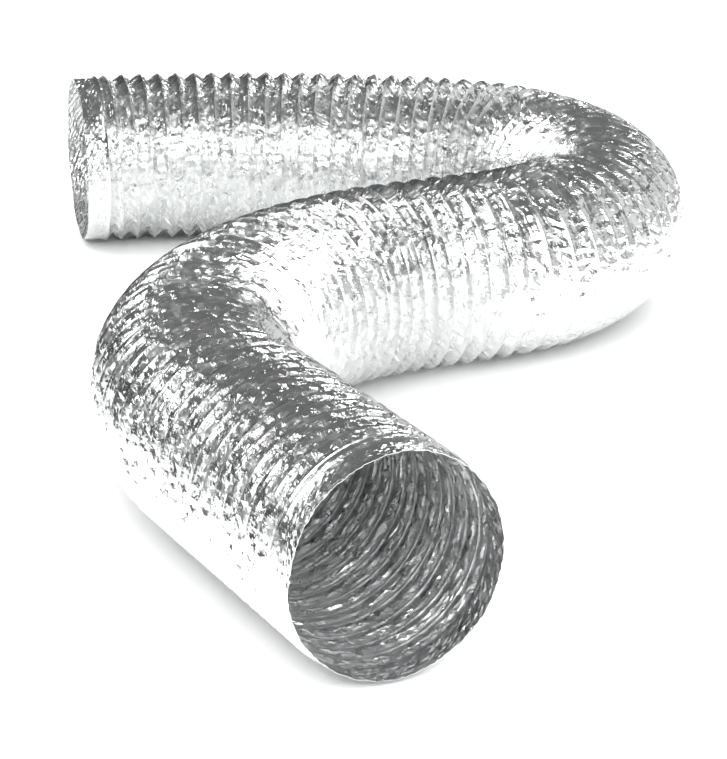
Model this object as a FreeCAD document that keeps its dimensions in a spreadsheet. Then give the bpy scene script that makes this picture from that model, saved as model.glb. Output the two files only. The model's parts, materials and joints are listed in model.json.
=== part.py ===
"""Flexible air duct: a wire helix wound between two corrugated foil plies, as millimetre solids.

The duct lies on a flat surface in an S. It is wound in one direction along the whole route, so
every piece follows the same helix. The duct is built as short sections of whole turns. Each
section holds one length of spring wire, the outer foil ply over it and the inner foil ply under
it, and adjoining sections meet along the helix. A plain foil band closes each open end.

The frame has +Z up and its origin at the bottom centre of the duct's box. +X runs across the
duct and +Y away from the open mouth.
"""
import FreeCAD, Part
import Sketcher
import cmath
import math
import os
from collections import namedtuple

# Driving dimensions: name, value, meaning. Lengths are in millimetres and angles in degrees.
DRIVING_DIMENSIONS = [
    ("bore_radius", 51.0, "inner radius of the plain band at each end"),
    ("band_length", 12.0, "length of each plain end band"),
    ("band_thickness", 0.25, "both foil plies pressed together"),
    ("band_step", 0.1, "step from the end band out to the inner ply"),
    ("band_margin", 1.5, "least width of the tapering wrap beside an end band"),
    ("ply_thickness", 0.2, "one foil laminate ply with its adhesive"),
    ("film_gap", 0.12, "clearance between a ply and what it covers"),
    ("wire_diameter", 1.1, "spring steel wire"),
    ("wire_sides", 8, "flats that stand in for the round wire"),
    ("wrap_pitch", 11.35, "advance of the winding in one turn, along the centre line"),
    ("valley_depth", 4.5, "depth of the fold between two turns of wire"),
    ("crest_half_width", 0.75, "half of the rounded crest over the wire"),
    ("seam_gap", 0.3, "gap along the helix where two turns of ply meet"),
    ("section_count", 18, "sections from the rear end to the mouth"),
    ("section_turns", 5, "turns of winding in a full section"),
    ("end_section_turns", 4, "turns of winding in the first and the last section"),
    ("points_per_turn", 24, "points that each wound curve passes through in one turn"),
    ("start_heading", 12.9, "heading of the rear end, from +X towards +Y"),
    ("back_run_length", 226.9, "length of the gently curved back run, from its first wire on"),
    ("back_run_radius", 442.4, "radius of the back run, which turns right"),
    ("far_bend_radius", 117.3, "radius of the tight bend, which turns right"),
    ("far_bend_angle", 139.2, "angle of the tight bend"),
    ("middle_run_length", 50.9, "length of the straight between the bends"),
    ("near_bend_radius", 180.6, "radius of the wide bend, which turns left"),
    ("near_bend_angle", 93.1, "angle of the wide bend"),
]

TURN = 2.0 * math.pi
BOTTOM = 0.25                 # a whole number of turns stands at the bottom of the duct
BOX_SAMPLE = 1.0              # spacing of the route samples that find the duct's box

Leg = namedtuple("Leg", "length curvature")
Line = namedtuple("Line", "along radius")


def make_sheet(doc):
    """Write the driving dimensions to a spreadsheet as plain numbers with aliases."""
    sheet = doc.addObject("Spreadsheet::Sheet", "Sizes")
    for row, (alias, value, meaning) in enumerate(DRIVING_DIMENSIONS, start=1):
        sheet.set(f"A{row}", meaning)
        sheet.set(f"B{row}", str(value))
        sheet.setAlias(f"B{row}", alias)
    doc.recompute()
    return sheet


class Route:
    """The centre line: arcs and straights in the horizontal plane, one after the other."""

    def __init__(self, size):
        self.rear = -size.band_margin - size.band_length
        self.heading = math.radians(size.start_heading)
        self.legs = [
            Leg(-self.rear, 0.0),
            Leg(size.back_run_length, -1.0 / size.back_run_radius),
            Leg(size.far_bend_radius * math.radians(size.far_bend_angle), -1.0 / size.far_bend_radius),
            Leg(size.middle_run_length, 0.0),
            Leg(size.near_bend_radius * math.radians(size.near_bend_angle), 1.0 / size.near_bend_radius),
            Leg(math.inf, 0.0),
        ]

    def at(self, along):
        """Return the plan position, as a complex number, and the heading at a distance along."""
        place = 0j
        heading = self.heading
        left = along - self.rear
        for leg in self.legs:
            step = min(left, leg.length)
            if leg.curvature:
                turned = heading + leg.curvature * step
                place += (cmath.exp(1j * turned) - cmath.exp(1j * heading)) / (1j * leg.curvature)
                heading = turned
            else:
                place += step * cmath.exp(1j * heading)
            left -= step
            if left <= 0.0:
                break
        return place, heading


def wound_point(route, turn, along, radius, shift=0.0):
    """Return the point at a winding angle, a distance along the route and a radius.

    shift moves the point along the local direction of the route by a true length.
    """
    place, heading = route.at(along)
    angle = TURN * (turn - BOTTOM)
    ahead = cmath.exp(1j * heading)
    place += radius * math.cos(angle) * 1j * ahead + shift * ahead
    return FreeCAD.Vector(place.real, place.imag, radius * math.sin(angle))


def wound_curve(point_at, first, last, per_turn):
    """Return a smooth curve through evenly spaced points from turn first to turn last."""
    count = max(2, round((last - first) * per_turn))
    shares = [step / count for step in range(count + 1)]
    points = [point_at(first + (last - first) * share) for share in shares]
    curve = Part.BSplineCurve()
    curve.interpolate(Points=points, Parameters=shares)
    return curve


def ruled_face(first, second):
    """Return the face of straight lines between two curves that share their knots."""
    surface = Part.BSplineSurface()
    surface.buildFromPolesMultsKnots(
        [first.getPoles(), second.getPoles()], [2, 2], first.getMultiplicities(),
        [0.0, 1.0], first.getKnots(), False, False, 1, first.Degree)
    return surface.toShape()


def corner_face(corners):
    """Return the face of straight lines across four corners, in order round it."""
    surface = Part.BSplineSurface()
    surface.buildFromPolesMultsKnots(
        [[corners[0], corners[1]], [corners[3], corners[2]]], [2, 2], [2, 2],
        [0.0, 1.0], [0.0, 1.0], False, False, 1, 1)
    return surface.toShape()


def wound_solid(ring, caps, first, last, per_turn):
    """Return the closed solid that a ring of moving corners sweeps from turn first to last.

    ring is a list of functions of the turn, one for each corner of the section, and caps lists
    the corner numbers of each four-sided piece that closes an end.
    """
    curves = [wound_curve(corner, first, last, per_turn) for corner in ring]
    faces = [ruled_face(curve, after) for curve, after in zip(curves, curves[1:] + curves[:1])]
    for turn in (first, last):
        corners = [corner(turn) for corner in ring]
        faces += [corner_face([corners[number] for number in cap]) for cap in caps]
    shell = Part.makeShell(faces)
    shell.sewShape()
    solid = Part.Solid(shell)
    if solid.Volume < 0.0:
        solid.reverse()
    return solid


def ply_solid(route, size, lines, thickness, first, last):
    """Return a ply: the outer lines of its section, and the same lines one thickness inward."""
    def corner(line, depth):
        return lambda turn: wound_point(route, turn, line.along(turn), line.radius - depth)

    ring = [corner(line, 0.0) for line in lines] + [corner(line, thickness) for line in reversed(lines)]
    last_corner = len(ring) - 1
    caps = [(number, number + 1, last_corner - 1 - number, last_corner - number)
            for number in range(len(lines) - 1)]
    return wound_solid(ring, caps, first, last, size.points_per_turn)


def wire_solid(route, size, first, last):
    """Return a length of the wire, with a regular polygon as its section."""
    sides = int(size.wire_sides)
    wire_radius = size.wire_diameter / 2.0
    line_radius = wire_line_radius(size)

    def corner(number):
        angle = TURN * (number + 0.5) / sides
        shift = wire_radius * math.cos(angle)
        radius = line_radius + wire_radius * math.sin(angle)
        return lambda turn: wound_point(route, turn, size.wrap_pitch * turn, radius, shift)

    ring = [corner(number) for number in range(sides)]
    half = sides // 2
    caps = [(number, number + 1, sides - 2 - number, sides - 1 - number) for number in range(half - 1)]
    return wound_solid(ring, caps, first, last, size.points_per_turn)


def wire_line_radius(size):
    """Return the radius of the line through the middle of the wire."""
    inner_ply = size.bore_radius + size.band_step + size.ply_thickness
    return inner_ply + size.film_gap + size.wire_diameter / 2.0


def crest_radius(size):
    """Return the radius of the outer ply over the wire, the largest of the duct."""
    return wire_line_radius(size) + size.wire_diameter / 2.0 + size.film_gap + size.ply_thickness


def along_wrap(size, offset):
    """Return the distance along the route of a line that runs beside the wire at an offset."""
    return lambda turn: size.wrap_pitch * turn + offset


def outer_ply_lines(size):
    """Return the lines of the outer ply: a crest over each wire and a valley half way."""
    crest = crest_radius(size)
    edge = size.seam_gap / 2.0
    half = size.wrap_pitch / 2.0
    offsets = (edge, size.crest_half_width, half, size.wrap_pitch - size.crest_half_width,
               size.wrap_pitch - edge)
    radii = (crest, crest, crest - size.valley_depth, crest, crest)
    return [Line(along_wrap(size, offset), radius) for offset, radius in zip(offsets, radii)]


def inner_ply_lines(size):
    """Return the lines of the inner ply: straight from under each wire down to the valley."""
    edge = size.seam_gap / 2.0
    shelf = size.bore_radius + size.band_step + size.ply_thickness
    valley = crest_radius(size) - size.valley_depth - size.ply_thickness - size.film_gap
    offsets = (edge, size.wrap_pitch / 2.0, size.wrap_pitch - edge)
    radii = (shelf, valley, shelf)
    return [Line(along_wrap(size, offset), radius) for offset, radius in zip(offsets, radii)]


def end_wrap_lines(size, fixed, offset):
    """Return the two edges of an end wrap: one square to the route, the other on the helix."""
    radius = size.bore_radius + size.band_thickness
    lines = [Line(lambda turn: fixed, radius), Line(along_wrap(size, offset), radius)]
    return lines if offset < 0.0 else lines[::-1]


def section_turns(size):
    """Return the turn at which each section starts, and the turn at which the last one ends."""
    turns = [0, int(size.end_section_turns)]
    for _ in range(int(size.section_count) - 2):
        turns.append(turns[-1] + int(size.section_turns))
    turns.append(turns[-1] + int(size.end_section_turns))
    return turns


def home_placement(route, size, front):
    """Return the placement that brings the duct's bottom centre to the origin."""
    radius = crest_radius(size)
    count = math.ceil((front - route.rear) / BOX_SAMPLE)
    sides = []
    for step in range(count + 1):
        place, heading = route.at(route.rear + (front - route.rear) * step / count)
        across = radius * 1j * cmath.exp(1j * heading)
        sides += [place + across, place - across]
    x_values = [side.real for side in sides]
    y_values = [side.imag for side in sides]
    centre_x = (min(x_values) + max(x_values)) / 2.0
    centre_y = (min(y_values) + max(y_values)) / 2.0
    return FreeCAD.Placement(FreeCAD.Vector(-centre_x, -centre_y, radius), FreeCAD.Rotation())


def add_solid(doc, label, shape, home):
    """Add a wound piece to the document."""
    piece = doc.addObject("Part::Feature", label)
    piece.Label = label
    piece.Shape = shape
    piece.Placement = home
    return piece


def add_end_band(doc, label, route, along, home):
    """Add a plain band as a padded ring that starts at a distance along the route."""
    body = doc.addObject("PartDesign::Body", label)
    body.Label = label
    plane = next(item for item in body.Origin.OriginFeatures if item.Role == "XY_Plane")
    sketch = body.newObject("Sketcher::SketchObject", label + "_ring")
    sketch.AttachmentSupport = [(plane, "")]
    sketch.MapMode = "FlatFace"
    centre = FreeCAD.Vector(0, 0, 0)
    axis = FreeCAD.Vector(0, 0, 1)
    for name, radius in (("inner", 1.0), ("outer", 2.0)):
        circle = sketch.addGeometry(Part.Circle(centre, axis, radius), False)
        sketch.addConstraint(Sketcher.Constraint("Coincident", circle, 3, -1, 1))
        number = sketch.addConstraint(Sketcher.Constraint("Radius", circle, radius))
        sketch.renameConstraint(number, name)
    sketch.setExpression("Constraints.outer", "Sizes.bore_radius + Sizes.band_thickness")
    sketch.setExpression("Constraints.inner", "Sizes.bore_radius")
    pad = body.newObject("PartDesign::Pad", label + "_pad")
    pad.Profile = sketch
    pad.setExpression("Length", "Sizes.band_length")
    body.Tip = pad
    place, heading = route.at(along)
    ahead = FreeCAD.Vector(math.cos(heading), math.sin(heading), 0)
    turned = FreeCAD.Rotation(axis, ahead)
    body.Placement = home * FreeCAD.Placement(FreeCAD.Vector(place.real, place.imag, 0), turned)
    return body


def add_section(doc, route, size, number, first, last, wire_last, home):
    """Add the two plies and the wire of one section."""
    trim = size.seam_gap / 2.0 / (TURN * wire_line_radius(size))
    name = f"section_{number:02d}"
    plies = (("outer_ply", outer_ply_lines(size)), ("inner_ply", inner_ply_lines(size)))
    pieces = []
    for ply, lines in plies:
        shape = ply_solid(route, size, lines, size.ply_thickness, first + trim, last - trim)
        pieces.append(add_solid(doc, f"{name}_{ply}", shape, home))
    wire = wire_solid(route, size, first + trim, wire_last - trim)
    pieces.append(add_solid(doc, f"{name}_wire", wire, home))
    return pieces


def add_ends(doc, route, size, turns, home):
    """Add the tapering last wrap and the plain band at the rear end and at the mouth."""
    trim = size.seam_gap / 2.0 / (TURN * wire_line_radius(size))
    edge = size.seam_gap / 2.0
    rear_edge = -size.band_margin
    front_edge = size.wrap_pitch * (turns[-1] + 1) + size.band_margin
    ends = (
        ("rear", rear_edge + edge, -edge, turns[0], route.rear),
        ("mouth", front_edge - edge, edge, turns[-1], front_edge),
    )
    pieces = []
    for name, fixed, offset, first, band_start in ends:
        lines = end_wrap_lines(size, fixed, offset)
        shape = ply_solid(route, size, lines, size.band_thickness, first + trim, first + 1 - trim)
        pieces.append(add_solid(doc, f"{name}_last_wrap", shape, home))
        pieces.append(add_end_band(doc, f"{name}_end_band", route, band_start, home))
    return pieces


def check_pieces(doc, pieces):
    """Stop if any object of the document failed, or if a piece isn't one closed valid solid."""
    for item in doc.Objects:
        faults = [state for state in item.State if state in ("Invalid", "Error")]
        if faults:
            raise RuntimeError(f"{item.Label} is {faults}")
    for piece in pieces:
        shape = piece.Shape
        if shape.isNull() or not shape.isValid() or shape.Volume <= 0.0:
            raise RuntimeError(f"{piece.Label} has no valid solid")
        if len(shape.Solids) != 1:
            raise RuntimeError(f"{piece.Label} has {len(shape.Solids)} solids")


def main():
    """Build every piece of the duct and write each one to its own STEP file."""
    doc = FreeCAD.newDocument("FlexibleAirDuct")
    size = make_sheet(doc)
    route = Route(size)
    turns = section_turns(size)
    front = size.wrap_pitch * (turns[-1] + 1) + size.band_margin + size.band_length
    home = home_placement(route, size, front)
    pieces = add_ends(doc, route, size, turns, home)
    for number, (first, last) in enumerate(zip(turns, turns[1:]), start=1):
        wire_last = last + 1 if last == turns[-1] else last
        pieces += add_section(doc, route, size, number, first, last, wire_last, home)
    doc.recompute()
    check_pieces(doc, pieces)
    os.makedirs("parts", exist_ok=True)
    for piece in pieces:
        piece.Shape.exportStep(f"parts/{piece.Label}.step")
        box = piece.Shape.BoundBox
        print(f"{piece.Label}: {piece.Shape.Volume:.1f} mm3, "
              f"x {box.XMin:.1f}..{box.XMax:.1f} y {box.YMin:.1f}..{box.YMax:.1f} "
              f"z {box.ZMin:.2f}..{box.ZMax:.2f}")
    print(f"{len(pieces)} pieces, {front - route.rear:.1f} mm along the centre line")


main()
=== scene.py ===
"""Looks of a flexible foil air duct: two crumpled foil plies over a spring wire, on a pale floor.

The duct is one long winding. Every point of it is named by its turn, counted from the rear end,
and by its share of the way across the strip of foil, from one wire to the next. The plies and the
wire are cut into spans from the middle of one rigid section to the middle of the next. The spans
at the two ends ride on their sections, and the spans between are left where they are built.
"""
import json
import logging
import math
from dataclasses import dataclass, field
from enum import Enum

import bmesh
import bpy
import numpy as np
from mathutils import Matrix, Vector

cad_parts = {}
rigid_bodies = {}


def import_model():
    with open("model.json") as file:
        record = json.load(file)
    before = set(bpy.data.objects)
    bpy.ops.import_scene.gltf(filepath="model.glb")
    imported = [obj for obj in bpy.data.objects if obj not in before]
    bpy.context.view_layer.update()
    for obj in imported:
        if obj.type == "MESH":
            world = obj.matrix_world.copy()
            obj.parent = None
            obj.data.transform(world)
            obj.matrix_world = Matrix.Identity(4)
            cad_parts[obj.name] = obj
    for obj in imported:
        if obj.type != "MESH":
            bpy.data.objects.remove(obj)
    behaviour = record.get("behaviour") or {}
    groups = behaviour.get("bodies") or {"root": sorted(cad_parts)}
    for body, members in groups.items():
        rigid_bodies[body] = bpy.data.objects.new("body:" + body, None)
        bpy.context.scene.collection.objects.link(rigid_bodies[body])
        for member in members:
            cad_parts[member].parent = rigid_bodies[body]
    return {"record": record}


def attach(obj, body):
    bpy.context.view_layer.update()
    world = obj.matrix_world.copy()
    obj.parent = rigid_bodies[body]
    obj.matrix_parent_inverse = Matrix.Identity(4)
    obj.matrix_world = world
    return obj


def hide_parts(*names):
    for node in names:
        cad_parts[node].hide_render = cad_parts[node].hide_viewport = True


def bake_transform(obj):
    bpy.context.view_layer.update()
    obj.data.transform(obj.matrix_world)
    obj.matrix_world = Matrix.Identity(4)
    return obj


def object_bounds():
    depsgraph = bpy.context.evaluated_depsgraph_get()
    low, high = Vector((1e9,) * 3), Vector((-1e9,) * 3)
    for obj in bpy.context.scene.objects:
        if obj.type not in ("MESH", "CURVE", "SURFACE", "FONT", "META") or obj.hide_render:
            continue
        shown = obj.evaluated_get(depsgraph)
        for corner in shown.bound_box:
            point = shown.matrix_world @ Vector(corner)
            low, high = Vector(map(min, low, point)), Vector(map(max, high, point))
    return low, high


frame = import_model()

TURN = 2.0 * math.pi
MM = 0.001
LOG = logging.getLogger("duct")
CAD_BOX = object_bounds()


class Side(Enum):
    """The face of a ply that is seen, which gets the finer mesh."""

    OUTSIDE = 1
    INSIDE = -1


@dataclass(frozen=True)
class Leg:
    """One stretch of the centre line: its length, and its curvature, which is positive to the left."""

    length: float
    curvature: float


@dataclass
class Route:
    """The centre line of the duct, as arcs and straights in the plane of the floor.

    The last leg is the run to the mouth. It is longer than the duct, which stops part way along it.
    """

    margin: float = 1.5 * MM
    legs: list[Leg] = field(default_factory=lambda: [
        Leg(0.0135, 0.0),
        Leg(0.2269, -1.0 / 0.4424),
        Leg(0.1173 * math.radians(139.2), -1.0 / 0.1173),
        Leg(0.0509, 0.0),
        Leg(0.1806 * math.radians(93.1), 1.0 / 0.1806),
        Leg(10.0, 0.0),
    ])

    def __post_init__(self) -> None:
        """Take the rear end's place, height and heading from the record's rear mount."""
        mount = next(item for item in frame["record"]["mounts"] if item["name"] == "rear_bore")
        self.band = mount["dims"]["length_mm"] * MM
        self.bore = mount["dims"]["r_mm"] * MM
        out = complex(mount["axis"][0], mount["axis"][1])
        self.start = complex(mount["pos_m"][0], mount["pos_m"][1]) + out * self.band / 2.0
        self.height = mount["pos_m"][2]
        self.heading = math.atan2(-out.imag, -out.real)
        self.rear = -self.margin - self.band

    def at(self, along: np.ndarray) -> tuple[np.ndarray, np.ndarray, np.ndarray]:
        """Find the centre line at distances along it.

        A straight adds its length in the heading's direction. An arc of curvature k from heading a
        to heading b adds (exp(i b) - exp(i a)) / (i k), with the plan taken as complex numbers.

        Args:
            along: Distances from the start of the winding, in metres.

        Returns:
            The plan position as complex numbers, the heading and the curvature.
        """
        along = np.asarray(along, float)
        place = np.full(along.shape, self.start, complex)
        heading = np.full(along.shape, self.heading)
        curvature = np.full(along.shape, self.legs[0].curvature)
        left = along - self.rear
        for number, leg in enumerate(self.legs):
            step = np.minimum(left, leg.length) if number == 0 else np.clip(left, 0.0, leg.length)
            if leg.curvature:
                turned = heading + leg.curvature * step
                place = place + (np.exp(1j * turned) - np.exp(1j * heading)) / (1j * leg.curvature)
                heading = turned
            else:
                place = place + step * np.exp(1j * heading)
            curvature = np.where(left > 0.0, leg.curvature, curvature)
            left = left - leg.length
        return place, heading, curvature


@dataclass
class Winding:
    """The helix that the wire and both plies follow, and the fold of foil between its turns.

    The mesh has per_turn columns in each turn and across rows from one wire to the next. Widths over
    the wire are shares of the pitch, and bead_start is a share of a turn. The folds are pulled flat
    over pull_turns turns from pull_from on, and keep all but pull_share of their depth.
    """

    route: Route
    pitch: float = 11.35 * MM
    turns: int = 88
    per_turn: int = 324
    across: int = 12
    crest: float = 52.84 * MM
    wire_line: float = 51.97 * MM
    shelf: float = 51.1 * MM
    fold_length: float = 7.2 * MM
    least_depth: float = 1.0 * MM
    most_depth: float = 5.6 * MM
    crest_rounding: float = 0.07
    bead: float = 0.65 * MM
    bead_width: float = 0.065
    bead_start: float = 0.05
    tightness: float = 0.75
    tight_width: float = 0.11
    pull_from: float = 66.0
    pull_turns: float = 13.0
    pull_share: float = 0.78

    def along(self, turn: np.ndarray, share: np.ndarray) -> np.ndarray:
        """Return the distance along the route, with the strip narrowed to nothing at each end."""
        first = self.pitch * share * (turn + 1.0)
        last = self.pitch * (turn + share * (self.turns + 1.0 - turn))
        along = np.where(turn > self.turns, last, self.pitch * (turn + share))
        return np.where(turn < 0.0, first, along)

    def fade(self, turn: np.ndarray) -> np.ndarray:
        """Return how much of the fold is left, which runs out over the first and last turn."""
        return np.clip(np.minimum(turn + 1.0, self.turns + 1.0 - turn), 0.0, 1.0)

    def depth(self, turn: np.ndarray, angle: np.ndarray, along: np.ndarray) -> np.ndarray:
        """Return the depth of the fold, deeper where a bend pushes the turns together.

        The foil between two wires keeps its length, so the depth is the other side of a right
        triangle on half the local pitch. The run to the mouth is pulled out nearly flat.

        Args:
            turn: Turns of the winding, which say how far out the fold is pulled.
            angle: Angles round the duct, in radians from its left side.
            along: Distances along the route, in metres.

        Returns:
            The depth of the fold at its deepest, in metres.
        """
        reach = np.linspace(-2.0, 2.0, 5) * self.pitch
        curvature = sum(self.route.at(along + shift)[2] for shift in reach) / len(reach)
        half = self.pitch / 2.0 * (1.0 - curvature * self.crest * np.cos(angle))
        depth = np.sqrt(np.maximum(self.fold_length**2 - half**2, self.least_depth**2))
        pulled = 1.0 - self.pull_share * np.clip((turn - self.pull_from) / self.pull_turns, 0.0, 1.0)
        return np.minimum(depth, self.most_depth) * pulled * self.fade(turn)

    def point(self, turn: np.ndarray, along: np.ndarray, radius: np.ndarray) -> np.ndarray:
        """Return points at a winding angle, a distance along the route and a radius."""
        place, heading, _ = self.route.at(along)
        angle = TURN * (turn - 0.25)
        plan = place + radius * np.cos(angle) * 1j * np.exp(1j * heading)
        height = self.route.height + radius * np.sin(angle)
        return np.stack([plan.real, plan.imag, height], axis=-1)


@dataclass
class Crumple:
    """Creases of hand-worn foil, as flat facets between randomly moved lattice points.

    The lattice has one point for every few mesh points. Each is moved outward, round the duct and
    along it by a random amount, and the mesh points between follow the two flat triangles of
    their lattice cell, cut along a random diagonal. Fine grain and slow swells are added to that.
    The lattice row over the wire is calmer than the rest.
    """

    winding: Winding
    seed: int
    out: float = 0.85 * MM
    slide: float = 0.9 * MM
    slide_along: float = 0.72 * MM
    grain: float = 0.07 * MM
    swell: float = 0.35 * MM
    step: int = 3
    calm: float = 0.16
    calm_grain: float = 0.4

    def __post_init__(self) -> None:
        """Draw every random number of this ply, in one fixed order."""
        random = np.random.default_rng(self.seed)
        wind = self.winding
        self.rows = wind.across // self.step
        self.columns = wind.per_turn // self.step
        cells = self.columns * (wind.turns + 4)
        self.moves = random.uniform(-1.0, 1.0, (cells, self.rows, 3))
        self.moves *= (self.out, self.slide, self.slide_along)
        self.moves[:, 0] *= self.calm
        self.diagonal = random.random((cells, self.rows)) < 0.5
        self.fine = random.uniform(-1.0, 1.0, (wind.per_turn * (wind.turns + 4), wind.across)) * self.grain
        self.fine[:, 0] *= self.calm_grain
        self.lumps = random.uniform(-1.0, 1.0, (cells // 3 + 4, 3)) * self.swell

    def corner(self, column: np.ndarray, row: np.ndarray) -> np.ndarray:
        """Return the moves of lattice points, with the row past the last taken one turn on."""
        column = np.where(row == self.rows, column + self.columns, column)
        row = np.where(row == self.rows, 0, row)
        return self.moves[np.clip(column, 0, len(self.moves) - 1), row]

    def at(self, index: np.ndarray, row: np.ndarray) -> np.ndarray:
        """Return the moves of mesh points.

        Args:
            index: Mesh columns, counted along the winding from one turn before the rear end.
            row: Mesh rows across the strip.

        Returns:
            The move outward, the move round the duct and the move along it, in metres.
        """
        wind = self.winding
        over = row == wind.across
        index = np.where(over, index + wind.per_turn, index)
        row = np.where(over, 0, row)
        column, x = index // self.step, (index % self.step) / self.step
        cell, y = row // self.step, (row % self.step) / self.step
        flip = self.diagonal[np.clip(column, 0, len(self.diagonal) - 1), cell]
        u = np.where(flip, 1.0 - x, x)[..., None]
        v = y[..., None]
        near = np.where(flip[..., None], self.corner(column + 1, cell), self.corner(column, cell))
        side = np.where(flip[..., None], self.corner(column, cell), self.corner(column + 1, cell))
        near_up = np.where(flip[..., None], self.corner(column + 1, cell + 1), self.corner(column, cell + 1))
        side_up = np.where(flip[..., None], self.corner(column, cell + 1), self.corner(column + 1, cell + 1))
        lower = near + u * (side - near) + v * (near_up - near)
        upper = side_up + (1.0 - u) * (near_up - side_up) + (1.0 - v) * (side - side_up)
        moves = np.where(u + v <= 1.0, lower, upper)
        moves[..., 0] += self.fine[np.clip(index, 0, len(self.fine) - 1), row]
        place = index / (self.step * 3.0)
        whole = np.clip(place.astype(int), 0, len(self.lumps) - 2)
        part = place - whole
        lump = self.lumps[whole, row % 3] * (1.0 - part) + self.lumps[whole + 1, row % 3] * part
        moves[..., 0] += lump * np.sin(np.pi * row / wind.across)
        return moves


def make_mesh(name: str, points: np.ndarray, faces: list[tuple[int, ...]],
              merge: float = 0.0) -> bpy.types.Object:
    """Make a closed mesh object whose faces point outward.

    Args:
        name: The piece's name.
        points: Its points, one row each, in metres.
        faces: Its faces, as tuples of point numbers.
        merge: Points nearer than this become one.

    Returns:
        The new object, at the origin.
    """
    mesh = bpy.data.meshes.new(name)
    mesh.from_pydata(points.tolist(), [], faces)
    work = bmesh.new()
    work.from_mesh(mesh)
    if merge:
        bmesh.ops.remove_doubles(work, verts=work.verts, dist=merge)
    bmesh.ops.recalc_face_normals(work, faces=work.faces)
    work.to_mesh(mesh)
    work.free()
    item = bpy.data.objects.new(name, mesh)
    bpy.context.scene.collection.objects.link(item)
    return item


@dataclass
class Strip:
    """A stretch of the winding as a grid of points: columns along it and rows across it."""

    winding: Winding
    first: int
    last: int
    stride: int

    def __post_init__(self) -> None:
        """Number the points, so that the front edge of a turn is the rear edge of the next."""
        per_turn = self.winding.per_turn // self.stride
        self.columns = np.arange(self.first, self.last + 1, self.stride)
        self.rows = np.arange(0, self.winding.across + 1, self.stride)
        count = len(self.columns)
        across = len(self.rows) - 1
        grid = np.arange(count * across).reshape(count, across)
        shared = count - per_turn
        front = np.concatenate([grid[per_turn:, 0], count * across + np.arange(per_turn)])
        self.ids = np.concatenate([grid, front[:, None]], axis=1)
        body_columns = np.repeat(self.columns, across)
        self.point_columns = np.concatenate([body_columns, self.columns[shared:]])
        self.point_rows = np.concatenate([np.tile(self.rows[:-1], count), np.full(per_turn, self.rows[-1])])

    def quads(self) -> np.ndarray:
        """Return the four point numbers of each cell of the grid."""
        ids = self.ids
        return np.stack([ids[:-1, :-1], ids[1:, :-1], ids[1:, 1:], ids[:-1, 1:]], axis=-1).reshape(-1, 4)

    def rims(self) -> list[np.ndarray]:
        """Return the closed rear and front edges of the strip, as rings of point numbers."""
        per_turn = self.winding.per_turn // self.stride
        ids = self.ids
        rear = np.concatenate([ids[: per_turn + 1, 0], ids[0, ::-1][1:-1]])
        front = np.concatenate([ids[-per_turn - 1:, -1], ids[-1, ::-1][1:-1]])
        return [rear, front]


def close_rims(fine: list[np.ndarray], coarse: list[np.ndarray]) -> list[tuple[int, ...]]:
    """Return five-sided faces between each fine rim and the rim with half its points."""
    faces: list[tuple[int, ...]] = []
    for seen, hidden in zip(fine, coarse):
        start, middle, end = seen[::2], seen[1::2], np.roll(seen, -2)[::2]
        after = np.roll(hidden, -1)
        faces += list(zip(*(part.tolist() for part in (start, middle, end, after, hidden))))
    return faces


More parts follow.
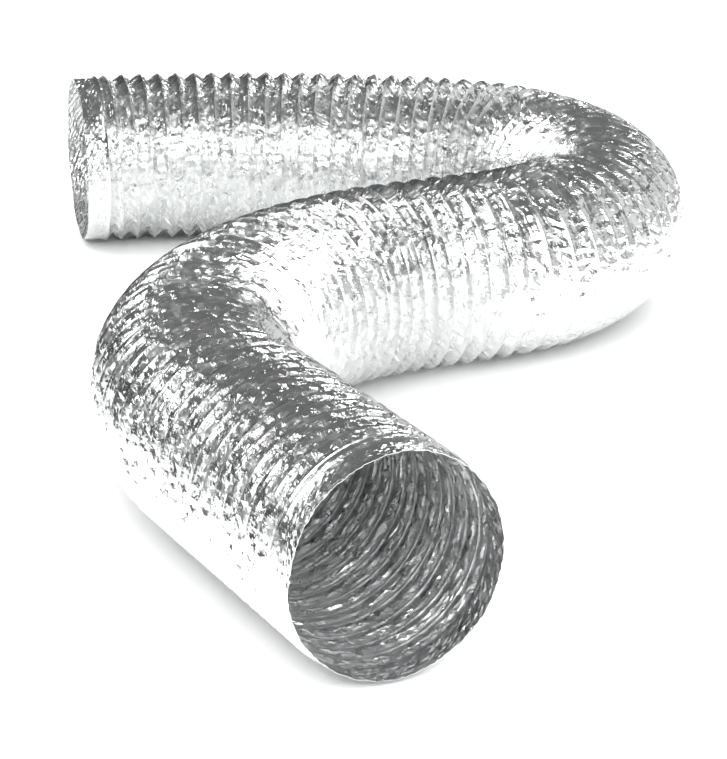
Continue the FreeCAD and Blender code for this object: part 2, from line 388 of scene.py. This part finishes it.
@dataclass
class FoilPly:
    """One ply of foil laminate: the seen face in full detail and the hidden one at half of it."""

    winding: Winding
    name: str
    side: Side
    crumple: Crumple
    thickness: float = 0.2 * MM
    film: float = 0.12 * MM
    merge: float = 0.001 * MM

    def radius(self, turn: np.ndarray, row: np.ndarray, along: np.ndarray, hidden: bool) -> np.ndarray:
        """Return the radius of a face of this ply.

        The outer ply falls from a crest over the wire to a valley half way, along a hyperbola
        that rounds the crest. The inner ply lies against it, and both swell over the wire in a
        narrow bead, which grows from nothing where the strip starts and ends.

        Args:
            turn: Turns of the winding.
            row: Mesh rows across the strip.
            along: Distances along the route, in metres.
            hidden: Whether it is the face that is turned to the other ply.

        Returns:
            The radius from the centre line, in metres.
        """
        wind = self.winding
        share = row / wind.across
        gap = np.minimum(share, 1.0 - share)
        rounding = wind.crest_rounding
        reach = math.hypot(0.5, rounding) - rounding
        fall = (np.hypot(gap, rounding) - rounding) / reach
        angle = TURN * (turn - 0.25)
        grown = np.minimum(wind.fade(turn) / wind.bead_start, 1.0)
        off_bead = 1.0 - grown * np.exp(-(gap / wind.bead_width) ** 2)
        outer = wind.crest - fall * wind.depth(turn, angle, along) - wind.bead * off_bead
        if self.side is Side.OUTSIDE:
            return outer - self.thickness * hidden
        apart = 2.0 * self.thickness + self.film
        seen = outer - apart - (wind.crest - wind.shelf - apart) * (1.0 - off_bead)
        return seen + self.thickness * hidden

    def face(self, columns: np.ndarray, rows: np.ndarray, hidden: bool) -> np.ndarray:
        """Return the points of a face of this ply, at mesh columns and rows.

        The foil is crumpled, but it lies tight where the wire holds it.

        Args:
            columns: Mesh columns along the strip.
            rows: Mesh rows across it.
            hidden: Whether it is the face that is turned to the other ply.

        Returns:
            The points, one row each, in metres.
        """
        wind = self.winding
        turn = columns / wind.per_turn - 1.0
        gap = np.minimum(rows, wind.across - rows) / wind.across
        slack = 1.0 - wind.tightness * np.exp(-(gap / wind.tight_width) ** 2)
        moves = self.crumple.at(columns, rows) * (slack * wind.fade(turn))[:, None]
        along = wind.along(turn, rows / wind.across)
        radius = self.radius(turn, rows, along, hidden) + moves[:, 0]
        turned = turn + moves[:, 1] / (TURN * wind.crest)
        middle = np.minimum(rows, wind.across - rows) / (wind.across / 2.0)
        return wind.point(turned, along + moves[:, 2] * middle, radius)

    def span(self, name: str, first: int, last: int) -> tuple[bpy.types.Object, np.ndarray, np.ndarray]:
        """Build one closed span of the ply.

        Args:
            name: The span's name.
            first: The mesh column where it starts.
            last: The mesh column where it ends.

        Returns:
            The object, and the points of its rear and front rims.
        """
        seen = Strip(self.winding, first, last, 1)
        back = Strip(self.winding, first, last, 2)
        seen_points = self.face(seen.point_columns, seen.point_rows, False)
        back_points = self.face(back.point_columns, back.point_rows, True)
        shift = len(seen_points)
        faces = list(map(tuple, seen.quads().tolist())) + list(map(tuple, (back.quads() + shift).tolist()))
        back_rims = [rim + shift for rim in back.rims()]
        faces += close_rims(seen.rims(), back_rims)
        piece = make_mesh(name, np.concatenate([seen_points, back_points]), faces, self.merge)
        rear, front = seen.rims()
        return piece, seen_points[rear], seen_points[front]


@dataclass
class SpringWire:
    """The drawn steel wire that runs in the crest of every turn."""

    winding: Winding
    radius: float = 0.55 * MM
    sides: int = 8
    stride: int = 6

    def span(self, name: str, first: int, last: int) -> bpy.types.Object:
        """Build a closed tube: a circle carried along the helix, with a flat cap at each end."""
        wind = self.winding
        columns = np.arange(first, last + 1, self.stride)
        turn = (columns / wind.per_turn - 1.0)[:, None]
        angle = TURN * np.arange(self.sides) / self.sides
        along = np.clip(wind.pitch * turn, 0.0, wind.pitch * (wind.turns + 1)) + self.radius * np.cos(angle)
        radius = wind.wire_line + self.radius * np.sin(angle)
        points = wind.point(turn, along, radius).reshape(-1, 3)
        ids = np.arange(len(points)).reshape(len(columns), self.sides)
        ring = np.roll(ids, -1, axis=1)
        quads = np.stack([ids[:-1], ring[:-1], ring[1:], ids[1:]], axis=-1).reshape(-1, 4)
        faces = list(map(tuple, quads.tolist())) + [tuple(ids[0].tolist()), tuple(ids[-1].tolist())]
        return make_mesh(name, points, faces)


@dataclass
class EndBand:
    """The plain foil band past the last wire at an open end."""

    winding: Winding
    name: str
    toward: int
    seed: int
    rows: int = 14
    thickness: float = 0.25 * MM
    wave: float = 0.5 * MM
    dent: float = 0.34 * MM
    steepness: float = 12.0
    smooth_share: float = 0.08
    waves: int = 5

    def build(self) -> bpy.types.Object:
        """Build the band as a closed ring: out along the outer face and back along the inner one.

        The outer face drops from the crest of the last fold to the band within its first sixth.
        Slow waves, which grow towards the rim, make the edge a little out of true.
        """
        wind = self.winding
        route = wind.route
        random = np.random.default_rng(self.seed)
        length = route.margin + route.band
        start = 0.0 if self.toward < 0 else wind.pitch * (wind.turns + 1)
        share = np.concatenate([np.linspace(0.0, 1.0, self.rows), np.linspace(1.0, 0.0, self.rows)])
        outer = np.arange(len(share)) < self.rows
        drop = np.exp(-(share * self.steepness) ** 2)
        plain = route.bore + np.where(outer, self.thickness, 0.0)
        edge = np.where(outer, wind.crest - route.bore - self.thickness, wind.shelf - route.bore)
        profile = plain + edge * drop
        columns = np.arange(0, wind.per_turn, 2)
        turn = columns / wind.per_turn
        bumps = random.uniform(-1.0, 1.0, (len(columns), self.rows)) * self.dent
        bumps = np.concatenate([bumps, bumps[:, ::-1]], axis=1) * (share > self.smooth_share)
        phases = random.uniform(0.0, TURN, self.waves)
        waves = sum(np.sin(TURN * turn * (number + 2) + phase) / (number + 2)
                    for number, phase in enumerate(phases))
        radius = profile[None, :] + bumps + self.wave * waves[:, None] * share[None, :] ** 2
        cut = np.sin(TURN * turn * (self.waves + 2) + phases[0])
        rim = self.wave * 0.5 * cut[:, None] * share[None, :] ** 4
        along = start + self.toward * (share[None, :] * length + rim)
        points = wind.point(turn[:, None], along, radius)
        ids = np.arange(points.shape[0] * points.shape[1]).reshape(points.shape[:2])
        around = np.roll(ids, -1, axis=0)
        quads = np.stack([ids, around, np.roll(around, -1, axis=1), np.roll(ids, -1, axis=1)], axis=-1)
        return make_mesh(self.name, points.reshape(-1, 3), list(map(tuple, quads.reshape(-1, 4).tolist())))


@dataclass(frozen=True)
class FoilFinish:
    """Bright crumpled aluminium foil: mirror-like facets, dulled unevenly, with fine wrinkles."""

    name: str
    colour: tuple[float, float, float]
    smooth: float = 0.16
    dull: float = 0.34
    wrinkle: float = 900.0
    relief: float = 0.00022

    def material(self) -> bpy.types.Material:
        """Build the node material."""
        material = bpy.data.materials.new(self.name)
        material.use_nodes = True
        nodes = material.node_tree.nodes
        link = material.node_tree.links.new
        shader = nodes["Principled BSDF"]
        shader.inputs["Metallic"].default_value = 1.0
        place = nodes.new("ShaderNodeTexCoord")
        haze = nodes.new("ShaderNodeTexNoise")
        haze.inputs["Scale"].default_value = self.wrinkle / 9.0
        haze.inputs["Detail"].default_value = 4.0
        link(place.outputs["Object"], haze.inputs["Vector"])
        tint = nodes.new("ShaderNodeMix")
        tint.data_type = "RGBA"
        tint.inputs["A"].default_value = (*(part * 0.86 for part in self.colour), 1.0)
        tint.inputs["B"].default_value = (*self.colour, 1.0)
        link(haze.outputs["Fac"], tint.inputs["Factor"])
        link(tint.outputs["Result"], shader.inputs["Base Color"])
        rough = nodes.new("ShaderNodeMapRange")
        rough.inputs["From Min"].default_value = 0.3
        rough.inputs["From Max"].default_value = 0.7
        rough.inputs["To Min"].default_value = self.smooth
        rough.inputs["To Max"].default_value = self.dull
        link(haze.outputs["Fac"], rough.inputs["Value"])
        link(rough.outputs["Result"], shader.inputs["Roughness"])
        creases = nodes.new("ShaderNodeTexVoronoi")
        creases.inputs["Scale"].default_value = self.wrinkle / 2.0
        link(place.outputs["Object"], creases.inputs["Vector"])
        grain = nodes.new("ShaderNodeTexNoise")
        grain.inputs["Scale"].default_value = self.wrinkle
        grain.inputs["Detail"].default_value = 3.0
        link(place.outputs["Object"], grain.inputs["Vector"])
        total = nodes.new("ShaderNodeMath")
        total.operation = "ADD"
        link(creases.outputs["Distance"], total.inputs[0])
        link(grain.outputs["Fac"], total.inputs[1])
        bump = nodes.new("ShaderNodeBump")
        bump.inputs["Strength"].default_value = 0.5
        bump.inputs["Distance"].default_value = self.relief
        link(total.outputs["Value"], bump.inputs["Height"])
        link(bump.outputs["Normal"], shader.inputs["Normal"])
        return material


@dataclass(frozen=True)
class WireFinish:
    """Drawn spring steel, with faint scratches along the wire."""

    name: str = "drawn_spring_steel"
    colour: tuple[float, float, float] = (0.52, 0.52, 0.54)

    def material(self) -> bpy.types.Material:
        """Build the node material."""
        material = bpy.data.materials.new(self.name)
        material.use_nodes = True
        nodes = material.node_tree.nodes
        shader = nodes["Principled BSDF"]
        shader.inputs["Base Color"].default_value = (*self.colour, 1.0)
        shader.inputs["Metallic"].default_value = 1.0
        place = nodes.new("ShaderNodeTexCoord")
        marks = nodes.new("ShaderNodeTexNoise")
        marks.inputs["Scale"].default_value = 1500.0
        rough = nodes.new("ShaderNodeMapRange")
        rough.inputs["To Min"].default_value = 0.25
        rough.inputs["To Max"].default_value = 0.5
        link = material.node_tree.links.new
        link(place.outputs["Object"], marks.inputs["Vector"])
        link(marks.outputs["Fac"], rough.inputs["Value"])
        link(rough.outputs["Result"], shader.inputs["Roughness"])
        return material


@dataclass(frozen=True)
class FloorFinish:
    """A plain matt white floor."""

    name: str = "pale_floor"
    white: float = 0.92

    def material(self) -> bpy.types.Material:
        """Build the material."""
        material = bpy.data.materials.new(self.name)
        material.use_nodes = True
        shader = material.node_tree.nodes["Principled BSDF"]
        shader.inputs["Base Color"].default_value = (self.white, self.white, self.white, 1.0)
        shader.inputs["Roughness"].default_value = 0.9
        shader.inputs["Specular IOR Level"].default_value = 0.1
        return material


@dataclass
class Duct:
    """The whole duct: both plies, the wire and the end bands, cut at the middle of each section."""

    winding: Winding
    end_turns: int = 4
    full_turns: int = 5
    outer_finish: FoilFinish = FoilFinish("outer_foil", (0.84, 0.85, 0.85))
    inner_finish: FoilFinish = FoilFinish("inner_foil", (0.97, 0.975, 0.975), smooth=0.2, dull=0.46)
    wire_finish: WireFinish = WireFinish()

    def __post_init__(self) -> None:
        """Make the finishes, and read the sections in order from the record's joints."""
        self.outer_foil = self.outer_finish.material()
        self.inner_foil = self.inner_finish.material()
        self.steel = self.wire_finish.material()
        joints = frame["record"]["behaviour"]["joints"]
        self.sections = [joints[0]["parent"]] + [joint["child"] for joint in joints]
        starts = [0, self.end_turns]
        starts += [self.end_turns + self.full_turns * n for n in range(1, len(self.sections) - 1)]
        starts.append(self.winding.turns)
        self.middles = [(a + b) / 2.0 for a, b in zip(starts, starts[1:])]

    def cuts(self) -> list[int]:
        """Return the mesh columns where the spans are cut, with both ends of the winding."""
        wind = self.winding
        middles = [round((middle + 1.0) * wind.per_turn) for middle in self.middles]
        return [0, *middles, (wind.turns + 2) * wind.per_turn]

    def hold(self, piece: bpy.types.Object, span: int, zone: tuple[np.ndarray, np.ndarray] | None) -> None:
        """Ride a piece on its section, or leave it fixed where it was built if it joins two sections.

        Args:
            piece: The finished piece.
            span: Its number, 0 for the span before the first cut.
            zone: Where its bend starts and ends, or None at an end of the duct.
        """
        if zone is None:
            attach(piece, self.sections[min(span, len(self.sections) - 1)])
        else:
            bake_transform(piece)

    def bend_zone(self, span: int, rear: np.ndarray, front: np.ndarray) -> tuple[np.ndarray, np.ndarray]:
        """Find the zone between two rims in which a span would bend, and log its length.

        Both rims have to stay outside the zone, so it starts at the furthest point of the rear rim
        and ends at the nearest point of the front rim, along the line between their middles.

        Args:
            span: The span's number.
            rear: Points of the rear rim.
            front: Points of the front rim.

        Returns:
            The points where the bend starts and ends.
        """
        middle = rear.mean(axis=0)
        line = front.mean(axis=0) - middle
        line[2] = 0.0
        line /= np.linalg.norm(line)
        first = float(((rear - middle) @ line).max())
        last = float(((front - middle) @ line).min())
        LOG.info("span %02d bends over %.1f mm", span, (last - first) / MM)
        return middle + line * first, middle + line * last

    def dress(self, piece: bpy.types.Object, material: bpy.types.Material) -> None:
        """Give a piece its finish."""
        piece.data.materials.append(material)

    def build(self) -> None:
        """Build every span of both plies and of the wire, then the end bands."""
        wind = self.winding
        outer = FoilPly(wind, "outer", Side.OUTSIDE, Crumple(wind, 11))
        inner = FoilPly(wind, "inner", Side.INSIDE, Crumple(wind, 23, out=0.6 * MM))
        wire = SpringWire(wind)
        cuts = self.cuts()
        last = len(cuts) - 2
        for span, (first, end) in enumerate(zip(cuts, cuts[1:])):
            name = f"{span:02d}"
            skin, rear, front = outer.span(f"outer_ply_{name}", first, end)
            zone = self.bend_zone(span, rear, front) if 0 < span < last else None
            lining, _, _ = inner.span(f"inner_ply_{name}", first, end)
            steel = wire.span(f"spring_wire_{name}", max(first, wind.per_turn), end)
            section = self.sections[min(span, len(self.sections) - 1)]
            for piece, material, slot, kind in ((skin, self.outer_foil, "outer_foil", "outer_ply"),
                                                (lining, self.inner_foil, "inner_foil", "inner_ply"),
                                                (steel, self.steel, "spring_wire", "wire")):
                self.dress(piece, material)
                self.hold(piece, span, zone)
                if span < last:
                    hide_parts(f"{section}_{kind}")
            LOG.info("span %s: %d faces", name, len(skin.data.polygons) + len(lining.data.polygons))
        for name, toward, section in (("rear", -1, self.sections[0]), ("mouth", 1, self.sections[-1])):
            band = EndBand(wind, f"{name}_band", toward, 31 + toward).build()
            self.dress(band, self.outer_foil)
            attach(band, section)
            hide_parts(f"{name}_end_band", f"{name}_last_wrap")
            LOG.info("%s band", name)


@dataclass
class Studio:
    """The floor, the soft lights and the camera.

    The camera stands aside and back from the rear end of the duct and up from the floor, all in
    diameters of the duct.
    """

    route: Route
    diameter: float = 105.7 * MM
    lens: float = 127.7
    tilt: float = 20.0
    aside: float = 1.729
    back: float = 15.781
    up: float = 4.826
    floor_gap: float = 1.0 * MM
    wall_grey: float = 0.04
    ceiling_grey: float = 0.17

    def floor(self) -> None:
        """Lay a pale floor under the duct, level with its lowest point."""
        half = 12.0
        mesh = bpy.data.meshes.new("floor")
        corners = [(-half, -half, 0.0), (half, -half, 0.0), (half, half, 0.0), (-half, half, 0.0)]
        mesh.from_pydata(corners, [], [(0, 1, 2, 3)])
        item = bpy.data.objects.new("floor", mesh)
        item.location.z = min(CAD_BOX[0][2], 0.0) - self.floor_gap
        bpy.context.scene.collection.objects.link(item)
        mesh.materials.append(FloorFinish().material())

    def lamp(self, name: str, place: tuple[float, float, float], size: tuple[float, float],
             watts: float, seen: bool = True) -> None:
        """Add a soft rectangular lamp that faces the duct.

        Args:
            name: The lamp's name.
            place: Where it stands, in metres.
            size: Its width and height.
            watts: Its power.
            seen: Whether the foil mirrors it.
        """
        light = bpy.data.lights.new(name, "AREA")
        light.shape = "RECTANGLE"
        light.size, light.size_y = size
        light.energy = watts
        item = bpy.data.objects.new(name, light)
        item.location = place
        item.rotation_euler = (-item.location).to_track_quat("-Z", "Y").to_euler()
        item.visible_glossy = seen
        bpy.context.scene.collection.objects.link(item)

    def lamps(self) -> None:
        """Light the duct: soft boxes all round, one facing the mouth, and an even fill above.

        The foil mirrors the rest of the room, which is dark at the walls and grey overhead.
        """
        self.lamp("front_box", (0.0, -1.5, 1.2), (2.6, 0.8), 32.0)
        self.lamp("mouth_box", (0.8, -1.5, 0.45), (1.3, 0.7), 9.0)
        self.lamp("back_box", (0.45, 1.3, 0.9), (0.6, 0.3), 5.0)
        self.lamp("right_box", (1.7, 0.5, 0.75), (2.2, 1.0), 5.5)
        self.lamp("left_box", (-1.5, -0.2, 1.5), (1.4, 0.7), 8.0)
        self.lamp("top_fill", (0.0, 0.6, 3.0), (7.0, 7.0), 290.0, seen=False)
        world = bpy.data.worlds.new("studio")
        world.use_nodes = True
        nodes = world.node_tree.nodes
        link = world.node_tree.links.new
        place = nodes.new("ShaderNodeTexCoord")
        axes = nodes.new("ShaderNodeSeparateXYZ")
        height = nodes.new("ShaderNodeMapRange")
        height.interpolation_type = "SMOOTHSTEP"
        height.inputs["From Min"].default_value = 0.05
        height.inputs["From Max"].default_value = 0.6
        height.inputs["To Min"].default_value = self.wall_grey
        height.inputs["To Max"].default_value = self.ceiling_grey
        link(place.outputs["Generated"], axes.inputs["Vector"])
        link(axes.outputs["Z"], height.inputs["Value"])
        link(height.outputs["Result"], nodes["Background"].inputs["Color"])
        bpy.context.scene.world = world

    def camera(self) -> None:
        """Stand the camera in front of the duct, looking along +Y and a little down."""
        data = bpy.data.cameras.new("camera")
        data.lens = self.lens
        item = bpy.data.objects.new("camera", data)
        start = self.route.start
        item.location = (start.real + self.aside * self.diameter, start.imag - self.back * self.diameter,
                         self.up * self.diameter)
        item.rotation_euler = (math.radians(90.0 - self.tilt), 0.0, 0.0)
        bpy.context.scene.collection.objects.link(item)
        bpy.context.scene.camera = item

    def build(self) -> None:
        """Set the stage."""
        self.floor()
        self.lamps()
        self.camera()
        bpy.context.scene.view_settings.view_transform = "Standard"


def main() -> None:
    """Build the stage and the duct."""
    logging.basicConfig(level=logging.INFO, format="%(message)s")
    route = Route()
    Studio(route).build()
    Duct(Winding(route)).build()


if __name__ == "__main__":
    main()
